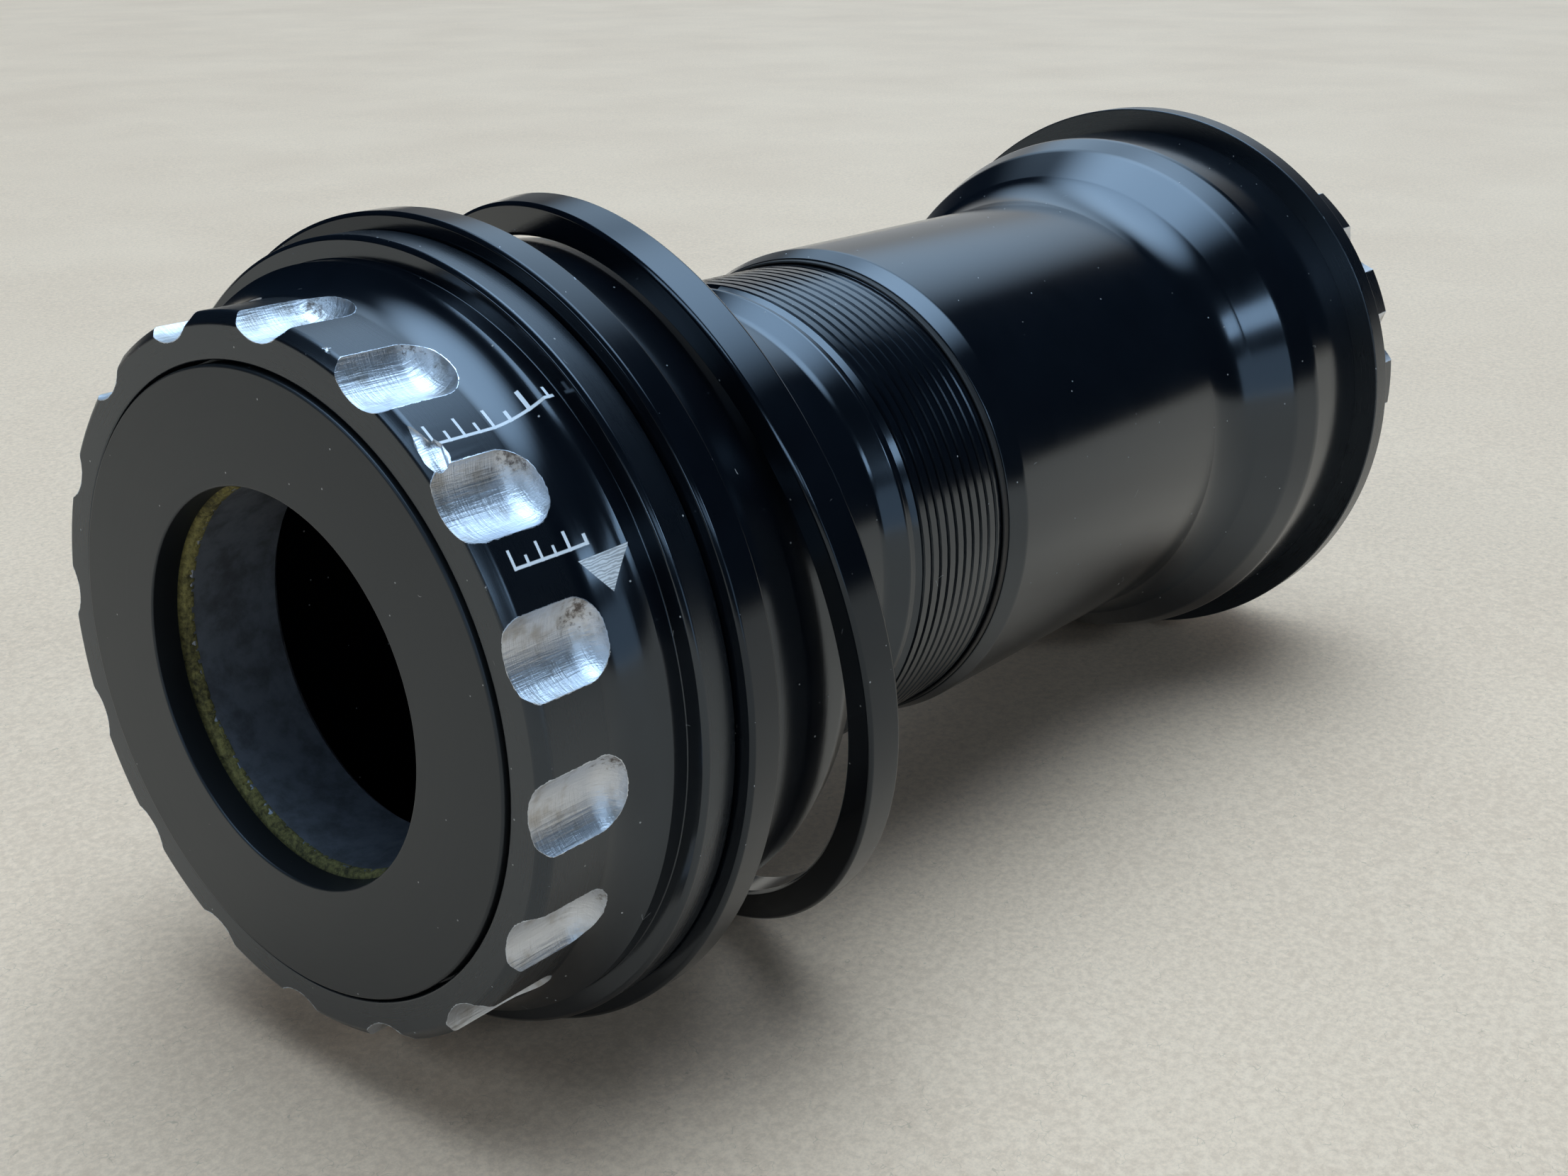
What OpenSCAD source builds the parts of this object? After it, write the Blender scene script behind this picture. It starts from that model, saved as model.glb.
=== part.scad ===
// Thread-together bottom bracket for a 46 mm press-fit shell and a 24 mm spindle.
// The spindle axis is X. The sleeve side is at -X and the tube side at +X.
// The origin is on the axis, at the middle of the tube cup's press-fit band.

/* [Cups] */
// Radius of the notched tool ring, in millimetres
ring_r = 22; // [21.5:0.1:22.4]
// Radius of the flange that seats against the shell
flange_r = 24.95; // [24.5:0.05:25.5]
// Distance from a cup's end face to the shell side of its flange
head_len = 11.4; // [11.2:0.1:12.5]
// Distance from the sleeve cup's end face to the tube cup's flange, as it lies half unscrewed
spread = 98.8; // [98:0.1:99.6]
// Number of tool notches round each cup
notches = 16; // [12:1:16]
// Radius of the cutter that makes a notch
notch_cut_r = 2.8; // [2.4:0.1:3]
// Depth of a notch in the ring
notch_depth = 1.3; // [1:0.1:1.5]
// Distance from the end face at which a notch runs out
notch_len = 5.9; // [5:0.1:6.2]
// Turn of the sleeve cup's notches, in degrees
sleeve_notch_turn = 3.4; // [0:0.1:22]
// Turn of the tube cup's notches, in degrees
tube_notch_turn = 9.5; // [0:0.1:22]

/* [Shell fit] */
// Radius of the press-fit bands, for a 46 mm shell
band_r = 23; // [22.95:0.01:23.05]
// Length of the sleeve cup's press-fit band, past the seat of the spacer at its root
sleeve_band_len = 5.8; // [5:0.1:5.8]
// Length of the tube cup's press-fit band
tube_band_len = 8; // [7:0.5:8.5]

/* [Sleeve and tube] */
// Radius of the plain stretch of the sleeve
sleeve_r = 16.6; // [16.4:0.1:16.8]
// Radius of the sleeve's thread at its crests
crest_r = 17.6; // [17.5:0.05:17.65]
// Depth of the thread
thread_depth = 0.55; // [0.4:0.05:0.6]
// Pitch of the thread
pitch = 1; // [0.9:0.1:1.2]
// Number of thread ridges
ridges = 20; // [16:1:22]
// Outer radius of the tube
tube_r = 18.45; // [18.4:0.05:18.6]
// Bore radius of the sleeve
sleeve_bore_r = 15.2; // [14:0.1:15.4]

/* [Bearings] */
// Bore radius of the inner races, for a 24 mm spindle
bore_r = 12; // [11.98:0.01:12.02]
// Outer radius of a bearing
bearing_r = 18.5; // [18.45:0.01:18.55]
// Width of a bearing
bearing_w = 7; // [6.9:0.1:7]
// Diameter of a ball
ball_d = 3.5; // [3.4:0.1:3.6]
// Number of balls in each bearing
balls = 16; // [14:1:16]

/* [Covers and spacers] */
// Bore radius of the dust covers
cover_bore_r = 12.2; // [12.1:0.05:12.4]
// Outer radius of the dust covers
cover_r = 19.1; // [19:0.05:19.15]
// Outer radius of the spacers
spacer_r = 26; // [25.6:0.1:26.2]
// Thickness of a spacer
spacer_t = 2.5; // [2.3:0.1:2.6]
// Inner radius of the loose spacer
loose_bore_r = 23.8; // [23.75:0.05:23.9]

/* [Hidden] */
// Names of the pieces, and the one to draw
$fn = 96;
arc_steps = 7;
// Facets of a notch cutter, a ball and a cage pocket
cutter_fn = 48;
ball_fn = 32;

// Ends of the two cups on the row's X axis.
band_mid = tube_band_len / 2;
sleeve_end_x = band_mid - spread;
tube_end_x = band_mid + head_len;

// Head of a cup: end face, tool ring, fillet, lip and flange.
face_r = 21.35;
face_bevel = 0.6;
lip_r = 23.6;
lip_at = 7.9;
flange_at = 9;
flange_bevel = 0.4;
fillet_angle = 56;
mouth_r = 19.3;
mouth_depth = 1.9;
edge_bevel = 0.15;
crease = 0.1;
cutter_lead = 3;

// Bearing seat behind the mouth of each cup.
bearing_at = 2;
seat_end = bearing_at + bearing_w;
shoulder_r = 17;
pitch_r = (bore_r + bearing_r) / 2;
groove_r = ball_d / 2 + 0.05;
inner_land_r = pitch_r - 1.05;
outer_land_r = pitch_r + 1.05;
race_bevel = 0.4;
seal_t = 0.6;
seal_recess = 0.75;
seal_gap = 0.1;
seal_seat_r = outer_land_r + 0.45;
cage_half_r = 0.5;
cage_half_w = 2.2;
pocket_r = ball_d / 2 + 0.1;
outer_seal_at = bearing_at + seal_recess - seal_t;
inner_seal_at = seat_end - seal_recess;

// Sleeve cup behind its flange, measured from its end face. The band ends in a long, shallow lead-in.
spacer_seat_r = band_r - 0.3;
spacer_seat_end = head_len + 2.8;
sleeve_band_end = spacer_seat_end + sleeve_band_len;
lead_in_end = sleeve_band_end + 3.9;
lead_in_r = band_r - 0.1;
sleeve_taper_r = 22.3;
sleeve_taper_end = lead_in_end + 1.6;
sleeve_cone_r = 20;
sleeve_cone_end = sleeve_taper_end + 1.8;
sleeve_neck_end = sleeve_cone_end + 4;
thread_ramp_at = 36.6;
thread_at = 38.3;
ramp_top = thread_at - 0.3;
ramp_end = thread_at - 0.1;
root_r = crest_r - thread_depth;
sleeve_tip = thread_at + ridges * pitch + 1.2;
tip_bevel = 0.6;
// Flats of a ridge at its foot and crest, as shares of the pitch
foot_flat = 0.1;
half_crest_flat = 0.1;
pocket_end = 24;
pocket_taper = 2;

// Tube cup behind its flange, measured from its end face.
rim_at = 49.8;
tube_len = spread - rim_at + head_len;
tube_band_end = head_len + tube_band_len;
tube_taper_r = 22.2;
tube_taper_end = tube_band_end + 2.5;
tube_cone_r = 20.2;
tube_cone_end = tube_taper_end + 3.1;
tube_neck_end = tube_cone_end + 4.7;
rim_bevel = 1.6;
rim_r = 17.95;
thread_bore_r = crest_r + 0.05;
thread_bore_len = 24;
thread_bore_step = 1.5;
tube_bore_r = 16.2;
seal_groove_r = 17.85;
seal_groove_w = 1.1;
o_ring_gap = 0.04;
o_ring_round = 0.12;
o_ring_proud = 0.55;

// Spacers.
spacer_gap = 0.2;
spacer_at = head_len + spacer_gap;
spacer_clearance = 0.05;
spacer_bevel = 0.35;
loose_x = 27.6;
loose_y = -1;
loose_z = -0.15;
loose_lean = 10;
loose_swing = 10.9;

// Dust covers and wiper rings, measured from the end face.
cover_face = -0.25;
cover_back = 1.3;
cover_round = 0.2;
cover_hole_bevel = 0.12;
hub_back = 1.55;
hub_r = inner_land_r - 0.3;
wiper_bore_r = bore_r + 0.12;
wiper_r = inner_land_r - 0.7;

// Points of an arc about (t, r) from angle a to angle b, both ends included.
function arc(t, r, rad, a, b, n = arc_steps) =
    [for (i = [0:n]) [t + rad * cos(a + (b - a) * i / n), r + rad * sin(a + (b - a) * i / n)]];

// Concave sweep that falls from (t0, r0) to meet a cylinder of radius r1 smoothly at t1.
function neck(t0, r0, t1, r1) =
    let (sweep = 2 * atan((r0 - r1) / (t1 - t0)), rad = (t1 - t0) / sin(sweep))
    arc(t1, r1 + rad, rad, -90 - sweep, -90);

// Concave fillet that leaves the tool ring smoothly and climbs to the lip.
function lip_fillet() =
    let (rad = (lip_r - ring_r) / (1 - cos(fillet_angle)), start = lip_at - rad * sin(fillet_angle))
    arc(start, ring_r + rad, rad, -90, -90 + fillet_angle);

// Outline of a cup's head, from its mouth round the outside to the flange's shell side.
function head_outline() = concat(
    [[mouth_depth, mouth_r], [edge_bevel, mouth_r], [0, mouth_r + edge_bevel], [0, face_r],
        [face_bevel, ring_r]],
    lip_fillet(),
    [[flange_at - crease, lip_r], [flange_at, lip_r + crease], [flange_at, flange_r - flange_bevel],
        [flange_at + flange_bevel, flange_r], [head_len - edge_bevel, flange_r],
        [head_len, flange_r - edge_bevel]]);

// Bearing seat and shoulder, from the inside back to the mouth.
function seat_outline() = [[seat_end, shoulder_r], [seat_end, bearing_r], [mouth_depth, bearing_r]];

// Ridges of the thread, as rings one pitch apart.
function thread_outline() = [for (i = [0:ridges - 1], p = [[foot_flat, root_r],
    [0.5 - half_crest_flat, crest_r], [0.5 + half_crest_flat, crest_r], [1 - foot_flat, root_r]])
    [thread_at + (i + p[0]) * pitch, p[1]]];

// Turns an outline of [distance from the end face, radius] round the X axis, inwards from a cup's end.
module turned(outline, x, side) {
    translate([x, 0, 0]) rotate([0, side * 90, 0])
        rotate_extrude() polygon([for (p = outline) [p[1], p[0]]]);
}

// Places children, drawn along +Z from an end face, inwards from a cup's end.
module from_end(x, side) {
    translate([x, 0, 0]) rotate([0, side * 90, 0]) children();
}

// Round-nosed cutters for the tool notches of one cup. Turn is measured from +Y towards +Z.
module notch_cutters(x, side, turn) {
    centre_r = ring_r - notch_depth + notch_cut_r;
    nose_at = notch_len - sqrt(notch_cut_r ^ 2 - (notch_cut_r - notch_depth) ^ 2);
    for (i = [0:notches - 1])
        rotate([turn + i * 360 / notches, 0, 0]) translate([0, centre_r, 0])
            from_end(x, side) {
                translate([0, 0, -cutter_lead])
                    cylinder(r = notch_cut_r, h = nose_at + cutter_lead, $fn = cutter_fn);
                translate([0, 0, nose_at]) sphere(r = notch_cut_r, $fn = cutter_fn);
            }
}

module sleeve_cup() {
    outline = concat(
        head_outline(),
        [[head_len, spacer_seat_r], [spacer_seat_end, spacer_seat_r], [spacer_seat_end, band_r],
            [sleeve_band_end, band_r], [lead_in_end, lead_in_r], [sleeve_taper_end, sleeve_taper_r]],
        neck(sleeve_cone_end, sleeve_cone_r, sleeve_neck_end, sleeve_r),
        [[thread_ramp_at, sleeve_r], [ramp_top, crest_r], [ramp_end, crest_r], [thread_at, root_r]],
        thread_outline(),
        [[sleeve_tip - tip_bevel, root_r], [sleeve_tip, root_r - tip_bevel], [sleeve_tip, sleeve_bore_r],
            [pocket_end + pocket_taper, sleeve_bore_r], [pocket_end, shoulder_r]],
        seat_outline());
    color([0.05, 0.05, 0.06]) difference() {
        turned(outline, sleeve_end_x, 1);
        notch_cutters(sleeve_end_x, 1, sleeve_notch_turn);
    }
}

module tube_cup() {
    outline = concat(
        head_outline(),
        [[head_len, band_r], [tube_band_end, band_r], [tube_taper_end, tube_taper_r]],
        neck(tube_cone_end, tube_cone_r, tube_neck_end, tube_r),
        [[tube_len - rim_bevel, tube_r], [tube_len, rim_r], [tube_len, seal_groove_r],
            [tube_len - seal_groove_w, seal_groove_r], [tube_len - seal_groove_w, thread_bore_r],
            [tube_len - thread_bore_len, thread_bore_r],
            [tube_len - thread_bore_len - thread_bore_step, tube_bore_r], [pocket_end, tube_bore_r],
            [pocket_end - pocket_taper, shoulder_r]],
        seat_outline());
    color([0.05, 0.05, 0.06]) difference() {
        turned(outline, tube_end_x, -1);
        notch_cutters(tube_end_x, -1, tube_notch_turn);
    }
}

// Rubber ring in the tube's mouth, round the thread.
module tube_mouth_o_ring() {
    inner_r = crest_r + o_ring_gap;
    front = tube_len + o_ring_proud;
    color([0.02, 0.02, 0.02]) turned([[tube_len - seal_groove_w, inner_r],
        [tube_len - seal_groove_w, seal_groove_r], [front - o_ring_round, seal_groove_r],
        [front, inner_r + o_ring_round], [front - o_ring_round, inner_r]], tube_end_x, -1);
}

// Ring of spacer section, drawn along +Z from its first face.
module spacer_ring(bore) {
    rotate_extrude() polygon([[bore, spacer_bevel], [bore + spacer_bevel, 0],
        [spacer_r - spacer_bevel, 0], [spacer_r, spacer_bevel], [spacer_r, spacer_t - spacer_bevel],
        [spacer_r - spacer_bevel, spacer_t], [bore + spacer_bevel, spacer_t],
        [bore, spacer_t - spacer_bevel]]);
}

module flange_spacer() {
    color([0.06, 0.06, 0.07]) from_end(sleeve_end_x + spacer_at, 1)
        spacer_ring(band_r + spacer_clearance);
}

// The second spacer hangs on the sleeve, leaning back.
module loose_spacer() {
    color([0.06, 0.06, 0.07]) translate([sleeve_end_x + loose_x, loose_y, loose_z])
        rotate([0, -loose_lean, -loose_swing]) from_end(-spacer_t / 2, 1) spacer_ring(loose_bore_r);
}

// Dust cover: a flat disc with a shallow hub on its back.
module dust_cover(x, side) {
    color([0.07, 0.07, 0.07]) turned([[cover_face, cover_bore_r + cover_hole_bevel],
        [cover_face + cover_hole_bevel, cover_bore_r], [hub_back, cover_bore_r], [hub_back, hub_r],
        [cover_back, inner_land_r], [cover_back, cover_r], [cover_face + cover_round, cover_r],
        [cover_face, cover_r - cover_round]], x, side);
}

module wiper_ring(x, side) {
    color([0.45, 0.4, 0.2]) turned([[hub_back, wiper_bore_r], [hub_back, wiper_r],
        [bearing_at, wiper_r], [bearing_at, wiper_bore_r]], x, side);
}

module outer_race(x, side) {
    outline = [[0, seal_seat_r], [0, bearing_r - race_bevel], [race_bevel, bearing_r],
        [bearing_w - race_bevel, bearing_r], [bearing_w, bearing_r - race_bevel],
        [bearing_w, seal_seat_r], [bearing_w - seal_recess, seal_seat_r],
        [bearing_w - seal_recess, outer_land_r], [seal_recess, outer_land_r],
        [seal_recess, seal_seat_r]];
    color([0.62, 0.63, 0.65]) difference() {
        turned([for (p = outline) [p[0] + bearing_at, p[1]]], x, side);
        ball_groove(x, side);
    }
}

module inner_race(x, side) {
    outline = [[0, bore_r + race_bevel], [race_bevel, bore_r], [bearing_w - race_bevel, bore_r],
        [bearing_w, bore_r + race_bevel], [bearing_w, inner_land_r], [0, inner_land_r]];
    color([0.62, 0.63, 0.65]) difference() {
        turned([for (p = outline) [p[0] + bearing_at, p[1]]], x, side);
        ball_groove(x, side);
    }
}

// Groove in which the balls run.
module ball_groove(x, side) {
    from_end(x, side) translate([0, 0, bearing_at + bearing_w / 2])
        rotate_extrude() translate([pitch_r, 0]) circle(r = groove_r);
}

// Places children at the centre of each ball, with their Z axis pointing away from the spindle.
module at_each_ball(x, side) {
    for (i = [0:balls - 1])
        rotate([i * 360 / balls, 0, 0])
            translate([x + side * (bearing_at + bearing_w / 2), 0, pitch_r]) children();
}

module ball_set(x, side) {
    color([0.75, 0.76, 0.78]) at_each_ball(x, side) sphere(d = ball_d, $fn = ball_fn);
}

module cage(x, side) {
    mid = bearing_at + bearing_w / 2;
    color([0.35, 0.33, 0.2]) difference() {
        turned([[mid - cage_half_w, pitch_r - cage_half_r], [mid - cage_half_w, pitch_r + cage_half_r],
            [mid + cage_half_w, pitch_r + cage_half_r], [mid + cage_half_w, pitch_r - cage_half_r]],
            x, side);
        at_each_ball(x, side)
            cylinder(r = pocket_r, h = 4 * cage_half_r, center = true, $fn = ball_fn);
    }
}

// Bearing seal that starts at a distance from the cup's end face.
module seal(x, side, at) {
    color([0.1, 0.1, 0.1]) turned([[at, inner_land_r + seal_gap], [at, seal_seat_r],
        [at + seal_t, seal_seat_r], [at + seal_t, inner_land_r + seal_gap]], x, side);
}

sleeve_cup();
tube_cup();
tube_mouth_o_ring();
flange_spacer();
loose_spacer();
dust_cover(sleeve_end_x, 1);  // sleeve_side_dust_cover
wiper_ring(sleeve_end_x, 1);  // sleeve_side_wiper_ring
outer_race(sleeve_end_x, 1);  // sleeve_side_outer_race
inner_race(sleeve_end_x, 1);  // sleeve_side_inner_race
ball_set(sleeve_end_x, 1);  // sleeve_side_balls
cage(sleeve_end_x, 1);  // sleeve_side_cage
seal(sleeve_end_x, 1, outer_seal_at);  // sleeve_side_outer_seal
seal(sleeve_end_x, 1, inner_seal_at);  // sleeve_side_inner_seal
dust_cover(tube_end_x, -1);  // tube_side_dust_cover
wiper_ring(tube_end_x, -1);  // tube_side_wiper_ring
outer_race(tube_end_x, -1);  // tube_side_outer_race
inner_race(tube_end_x, -1);  // tube_side_inner_race
ball_set(tube_end_x, -1);  // tube_side_balls
cage(tube_end_x, -1);  // tube_side_cage
seal(tube_end_x, -1, outer_seal_at);  // tube_side_outer_seal
seal(tube_end_x, -1, inner_seal_at);  // tube_side_inner_seal
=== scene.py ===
# %% [markdown]
# A thread-together bottom bracket: two black cups that press into a bicycle frame, each with a
# bearing for the crank spindle. This lesson dresses the packed CAD model for a studio picture.
# The CAD model is the fixed frame of everything: it gives the bodies that move and where each
# piece sits. Every length below is written in millimetres and turned into metres with MM.

# %% Load the packed model
import math

import bmesh
import bpy
from mathutils import Matrix, Vector, noise


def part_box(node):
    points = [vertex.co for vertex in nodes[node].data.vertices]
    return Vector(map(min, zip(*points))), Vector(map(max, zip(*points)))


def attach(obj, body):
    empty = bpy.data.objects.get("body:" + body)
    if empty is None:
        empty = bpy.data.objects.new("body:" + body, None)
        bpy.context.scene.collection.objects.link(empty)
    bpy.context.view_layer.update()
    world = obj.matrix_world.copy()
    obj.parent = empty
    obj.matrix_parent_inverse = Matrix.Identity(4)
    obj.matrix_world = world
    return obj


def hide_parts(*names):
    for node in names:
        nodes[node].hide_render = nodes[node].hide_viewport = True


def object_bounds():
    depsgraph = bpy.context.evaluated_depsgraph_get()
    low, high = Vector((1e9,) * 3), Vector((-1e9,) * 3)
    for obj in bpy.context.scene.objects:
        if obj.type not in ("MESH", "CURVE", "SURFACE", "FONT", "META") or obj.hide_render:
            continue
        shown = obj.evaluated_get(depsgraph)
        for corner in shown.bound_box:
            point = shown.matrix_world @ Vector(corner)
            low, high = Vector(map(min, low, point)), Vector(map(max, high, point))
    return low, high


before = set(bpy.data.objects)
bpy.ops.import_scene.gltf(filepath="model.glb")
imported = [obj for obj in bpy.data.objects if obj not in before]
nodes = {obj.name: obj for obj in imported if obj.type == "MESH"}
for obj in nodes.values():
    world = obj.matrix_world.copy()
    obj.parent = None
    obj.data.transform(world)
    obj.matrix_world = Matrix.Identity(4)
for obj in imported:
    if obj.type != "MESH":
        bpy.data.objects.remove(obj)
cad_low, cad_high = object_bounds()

MM = 0.001

# %% [markdown]
# Both cups are turned on a lathe, so every surface is described by two numbers: how far along
# the spindle it is from its cup's end face, and how far out from the spindle. The end faces are
# read from the CAD model. The sleeve cup looks along +X and the tube cup along -X.

# %% Where the two cups start
SLEEVE_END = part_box("sleeve_cup")[0].x / MM
TUBE_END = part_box("tube_cup")[1].x / MM
SLEEVE_SIDE = (SLEEVE_END, 1)
TUBE_SIDE = (TUBE_END, -1)
print("end faces at", round(SLEEVE_END, 2), "and", round(TUBE_END, 2), "mm")

# %% [markdown]
# The camera comes first, because it decides which surfaces need the most work. It stands in front
# of the sleeve cup, on the -Y side of the spindle and above it, and looks down along the bracket.
# A 42 mm lens at this short distance makes the near cup look much bigger than the far one.

# %% The camera
CAMERA_PLACE = Vector((-151.56, -83.78, 42.50))
CAMERA_LOOK = Vector((0.7268, 0.5914, -0.3492))
LENS = 42.0
SENSOR = 36.0

camera_data = bpy.data.cameras.new("camera")
camera_data.lens = LENS
camera_data.sensor_width = SENSOR
camera_data.clip_start = 1 * MM
camera = bpy.data.objects.new("camera", camera_data)
camera.location = CAMERA_PLACE * MM
camera.rotation_euler = CAMERA_LOOK.to_track_quat("-Z", "Y").to_euler()
bpy.context.scene.collection.objects.link(camera)
bpy.context.scene.camera = camera
print("camera at", [round(c, 3) for c in camera.location])

# %% [markdown]
# Shader maths is easier to read as Python than as a list of nodes. This class wraps one socket.
# Adding, multiplying or comparing two of them makes the Math node that does so, and any other
# node comes from the one method called node: its settings are set first, then its sockets.


# %% A socket that does its own maths
class Wire:
    """One output socket of a material's nodes."""

    def __init__(self, tree, socket=None):
        self.tree = tree
        self.socket = socket

    def node(self, kind, settings=None, sockets=None, output=0):
        made = self.tree.nodes.new("ShaderNode" + kind)
        for name, value in (settings or {}).items():
            setattr(made, name, value)
        for name, value in (sockets or {}).items():
            if isinstance(value, Wire):
                self.tree.links.new(value.socket, made.inputs[name])
            else:
                made.inputs[name].default_value = value
        return Wire(self.tree, made.outputs[output])

    def math(self, operation, *values):
        return self.node("Math", {"operation": operation}, dict(enumerate(values)))

    def __add__(self, other):
        return self.math("ADD", self, other)

    __radd__ = __add__

    def __sub__(self, other):
        return self.math("SUBTRACT", self, other)

    def __rsub__(self, other):
        return self.math("SUBTRACT", other, self)

    def __mul__(self, other):
        return self.math("MULTIPLY", self, other)

    __rmul__ = __mul__

    def __truediv__(self, other):
        return self.math("DIVIDE", self, other)

    def __pow__(self, other):
        return self.math("POWER", self, other)

    def __abs__(self):
        return self.math("ABSOLUTE", self)

    def __mod__(self, other):
        return self.math("FLOORED_MODULO", self, other)

    def rise(self, low, high):
        """0 below low, 1 above high, and smooth between. With high under low it falls instead."""
        return self.node(
            "MapRange",
            {"interpolation_type": "SMOOTHSTEP"},
            {"Value": self, "From Min": low, "From Max": high},
        )

    def either(self, other):
        return self.math("MAXIMUM", self, other)


print("Wire has", len([n for n in vars(Wire) if not n.startswith("_")]), "named methods")

# %% [markdown]
# Every finish starts in the same way: a material with one Principled shader. The constant
# settings go straight on the shader's sockets, and only what changes over the surface is linked.


# %% Starting a finish
def start_finish(name, **constants):
    """A new material, its node tree as a Wire, and its Principled shader."""
    finish = bpy.data.materials.new(name)
    finish.use_nodes = True
    shader = finish.node_tree.nodes["Principled BSDF"]
    for socket, value in constants.items():
        shader.inputs[socket.replace("_", " ")].default_value = value
    return finish, Wire(finish.node_tree), shader


def link(shader, **sockets):
    """Links wires to the shader's sockets."""
    for name, wire in sockets.items():
        wire.tree.links.new(wire.socket, shader.inputs[name.replace("_", " ")])


def blend(paint, amount, first, second):
    """A colour between two colours, by an amount from 0 to 1."""
    colours = [c if isinstance(c, Wire) else (*c, 1) for c in (first, second)]
    return paint.node(
        "Mix", {"data_type": "RGBA"}, {0: amount, 6: colours[0], 7: colours[1]}, output=2
    )


def bump(paint, height, strength, depth):
    """A normal from a height of 0 to 1 that stands for a depth in millimetres."""
    return paint.node(
        "Bump", None, {"Height": height, "Strength": strength, "Distance": depth * MM}
    )


print("helpers for finishes are ready")

# %% [markdown]
# Patterns on turned parts follow the lathe. From the Object coordinates come three useful numbers,
# in millimetres and degrees: the distance from the cup's end face, the distance from the spindle,
# and the angle round it. Noise that is squeezed across the angle looks like turning lines.


# %% Coordinates round the spindle
def place_in_mm(paint):
    """The point on the surface, as a vector in millimetres."""
    place = paint.node("TexCoord", output="Object")
    scaled = {0: place, "Scale": 1 / MM}
    return paint.node("VectorMath", {"operation": "SCALE"}, scaled)


def lathe_coordinates(paint, end, side):
    """The distance from an end face, the radius and the angle from +Y towards +Z."""
    point = place_in_mm(paint)
    x, y, z = (paint.node("SeparateXYZ", None, {0: point}, output=i) for i in range(3))
    along = (x - end) * side
    radius = (y * y + z * z) ** 0.5
    angle = paint.math("ARCTAN2", z, y) * math.degrees(1)
    return along, radius, angle


def cloud(paint, vector, scale, detail=2.0, roughness=0.5):
    """Noise from 0 to 1, with scale features in a millimetre."""
    sockets = {"Vector": vector, "Scale": scale, "Detail": detail, "Roughness": roughness}
    return paint.node("TexNoise", None, sockets)


def stretched(paint, x, y, z):
    """A vector from three wires, for noise that is longer one way."""
    return paint.node("CombineXYZ", None, {0: x, 1: y, 2: z})


def turning_lines(paint, along, radius, angle, lines=8.0, drift=0.012):
    """Fine lines round the spindle, a number of them in a millimetre."""
    vector = stretched(paint, along * lines, radius * lines, angle * drift)
    return cloud(paint, vector, 1.0, 4.0, 0.65)


print("lathe coordinates are ready")

# %% [markdown]
# A real black part is never clean. Small specks of dust and short curved fibres lie on it. A
# speck is a Voronoi cell's centre where the surface happens to pass close to it, so specks come
# in many sizes. A fibre is a thin contour line of slow noise, kept only in a few patches.

# %% Dust and fibres
SPECK_CELLS = 0.62
SPECK_SIZE = 0.042
FIBRE_SCALE = 0.55
FIBRE_WIDTH = 0.003
FIBRE_PATCHES = (0.76, 0.78)


def dust(paint, point):
    """A mask of specks and fibres."""
    near = paint.node("TexVoronoi", None, {"Vector": point, "Scale": SPECK_CELLS})
    specks = near.rise(SPECK_SIZE, SPECK_SIZE * 0.7)
    contour = abs(cloud(paint, point, FIBRE_SCALE, 0.0) - 0.5)
    patches = cloud(paint, point, FIBRE_SCALE * 0.9, 1.0).rise(*FIBRE_PATCHES)
    fibres = contour.rise(FIBRE_WIDTH, FIBRE_WIDTH * 0.5) * patches
    return specks.either(fibres)


print("a speck is at most", round(2 * SPECK_SIZE / SPECK_CELLS, 3), "mm across")

# %% [markdown]
# The tool notches are cut after the cup is anodised, so they are bare, bright aluminium and
# their edges are raw. To paint a raw edge beside each notch, the shader folds the circle into
# one notch's share and works out how far a point is outside the cutter.

# %% The notches of the tool rings
NOTCHES = 16
RING_R = 22.0
CUTTER_R = 2.8
NOTCH_DEPTH = 1.3
NOTCH_LEN = 5.9
CUTTER_OUT = RING_R - NOTCH_DEPTH + CUTTER_R
CUTTER_CORNER = 1.8
NOTCH_TURNS = {1: 3.4, -1: 9.5}
NOTCH_SHARE = 360 / NOTCHES


def folded_turn(angle, side):
    """The angle from the middle of the nearest notch, in degrees."""
    shifted = angle - NOTCH_TURNS[side] + NOTCH_SHARE / 2
    return shifted % NOTCH_SHARE - NOTCH_SHARE / 2


def cutter_distance(paint, along, radius, angle, side):
    """How far a point is outside the nearest notch's cutter, in millimetres."""
    turn = folded_turn(angle, side) / math.degrees(1)
    out = radius * paint.math("COSINE", turn) - CUTTER_OUT
    across = radius * paint.math("SINE", turn)
    beyond = ((out * out + across * across) ** 0.5 - (CUTTER_R - CUTTER_CORNER)).either(0.0)
    past = (along - (NOTCH_LEN - CUTTER_CORNER)).either(0.0)
    return (beyond * beyond + past * past) ** 0.5 - CUTTER_CORNER


print("each notch is", NOTCH_LEN, "mm long and", NOTCH_DEPTH, "mm deep")

# %% [markdown]
# Two laser marks sit on the sleeve cup's ring. Here they are plain: a short ruled scale, and a
# shorter one beside a hatched triangle that points the way the cup is tightened. A mark is a
# window in angle and distance, so the same few comparisons draw all of them.

# %% The laser marks
MARK_SOFT = 0.03
TICK_HALF = 0.085
SHORT_TICK = 0.45
RULE_WIDTH = 0.45
SCALES = [
    {"turn": (126.0, 129.4), "along": (1.15, 8.4), "pitch": 1.0},
    {"turn": (146.3, 149.2), "along": (1.6, 6.35), "pitch": 0.95},
]
ARROW_BASE = 150.8
ARROW_TIP = 156.3
ARROW_ALONG = 6.8
ARROW_HALF = 1.2
HATCH_PITCH = 15.0
HATCH_WOBBLE = 14.0


def window(value, low, high, soft):
    """1 between low and high."""
    return value.rise(low - soft, low + soft) * value.rise(high + soft, high - soft)


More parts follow.
